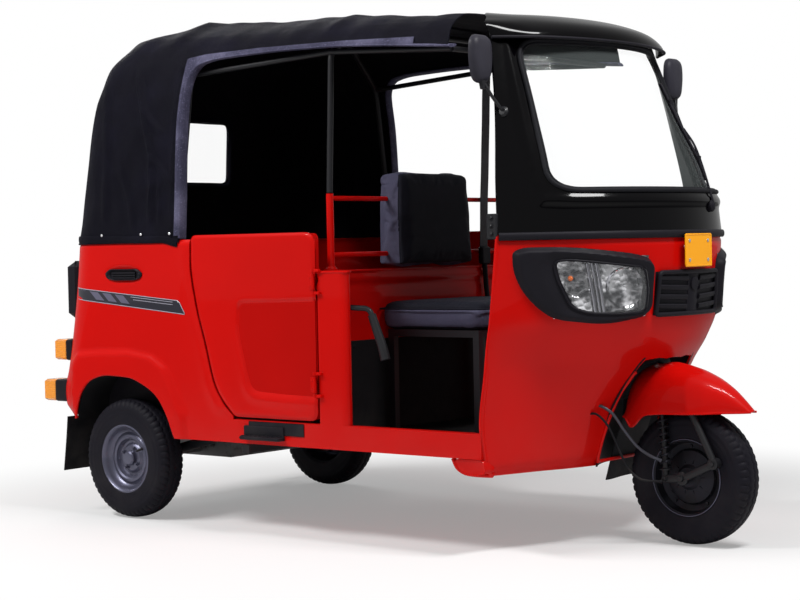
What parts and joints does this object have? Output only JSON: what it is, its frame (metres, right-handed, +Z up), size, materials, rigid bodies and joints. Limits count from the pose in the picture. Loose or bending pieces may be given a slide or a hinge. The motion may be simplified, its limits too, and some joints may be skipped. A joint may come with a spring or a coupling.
{
  "type": "auto rickshaw",
  "caption": "Three-wheeled passenger auto rickshaw with a steered front wheel, open-sided cab, guard rail, rear bench, folding fabric canopy and tilted windscreen.",
  "frame": {"origin": "on the ground under the middle of the vehicle's length and width", "axes": "+X forward, +Y to the vehicle's left, +Z up"},
  "size_m": [2.638, 1.2686, 1.762],
  "materials": {
    "body_red": "gloss",
    "screen_black": "gloss",
    "frame_black": "satin",
    "canopy_vinyl": "grained",
    "seat_vinyl": "matt",
    "trim_plastic": "textured",
    "rubber_black": "matt",
    "tyre_black": "matt",
    "rim_silver": "painted silver",
    "rim_dark": "satin",
    "engine_metal": "rough",
    "lamp_glass": "clear",
    "clear_glass": "clear",
    "lamp_amber": "gloss",
    "plate_yellow": "satin"
  },
  "bodies": {
    "chassis": {"bulkhead": "body_red", "canopy": "canopy_vinyl", "canopy_bows": "frame_black", "chassis_frame": "frame_black", "dashboard": "trim_plastic", "driver_backrest": "seat_vinyl", "driver_controls": "frame_black", "driver_cushion": "seat_vinyl", "driver_seat_frame": "frame_black", "floor_pan": "body_red", "front_cowl": "body_red", "front_grille": "trim_plastic", "front_plate": "plate_yellow", "front_wheel_housing": "frame_black", "guard_rail": "body_red", "headlamp_bezels": "trim_plastic", "headlamps": "lamp_glass", "mirrors": "trim_plastic", "passenger_backrest": "seat_vinyl", "passenger_cushion": "seat_vinyl", "power_unit": "engine_metal", "rear_lamps": "lamp_amber", "rear_mudflaps": "rubber_black", "rear_panel": "body_red", "rear_plate": "plate_yellow", "rear_suspension_left": "frame_black", "rear_suspension_right": "frame_black", "rear_window": "clear_glass", "roof_visor": "screen_black", "seat_box": "frame_black", "side_panel_left": "body_red", "side_panel_right": "body_red", "side_steps": "frame_black", "steering_head": "frame_black", "tail_pods": "trim_plastic", "windscreen_glass": "clear_glass", "windscreen_surround": "screen_black"},
    "steering": {"front_fork": "frame_black", "handlebar": "frame_black", "hand_grips": "rubber_black", "front_mudguard": "body_red", "front_flap": "rubber_black", "control_cables": "rubber_black"},
    "front_wheel": {"front_tyre": "tyre_black", "front_rim": "rim_dark"},
    "rear_wheel_right": {"rear_tyre_right": "tyre_black", "rear_rim_right": "rim_silver"},
    "rear_wheel_left": {"rear_tyre_left": "tyre_black", "rear_rim_left": "rim_silver"},
    "door_right": {"door_right": "body_red"},
    "door_left": {"door_left": "body_red"},
    "engine_lid": {"engine_lid": "body_red"}
  },
  "joints": [
    {"name": "steering", "type": "hinge", "parent": "chassis", "child": "steering", "pos_m": [1.188, 0, 0], "axis": [-0.309, 0, 0.9511], "range_deg": [-40, 40], "deforming": ["control_cables"]},
    {"name": "front_wheel_spin", "type": "hinge", "parent": "steering", "child": "front_wheel", "pos_m": [1.106, 0, 0.213], "axis": [0, 1, 0], "continuous": true},
    {"name": "rear_wheel_right_spin", "type": "hinge", "parent": "chassis", "child": "rear_wheel_right", "pos_m": [-0.879, -0.525, 0.213], "axis": [0, 1, 0], "continuous": true},
    {"name": "rear_wheel_left_spin", "type": "hinge", "parent": "chassis", "child": "rear_wheel_left", "pos_m": [-0.879, 0.525, 0.213], "axis": [0, 1, 0], "continuous": true},
    {"name": "door_right_hinge", "type": "hinge", "parent": "chassis", "child": "door_right", "pos_m": [0.0715, -0.611, 0.674], "axis": [0, 0, 1], "range_deg": [0, 75]},
    {"name": "door_left_hinge", "type": "hinge", "parent": "chassis", "child": "door_left", "pos_m": [0.0715, 0.611, 0.674], "axis": [0, 0, -1], "range_deg": [0, 75]},
    {"name": "engine_lid_hinge", "type": "hinge", "parent": "chassis", "child": "engine_lid", "pos_m": [-1.207, 0, 0.771], "axis": [0, 1, 0], "range_deg": [0, 80]}
  ]
}
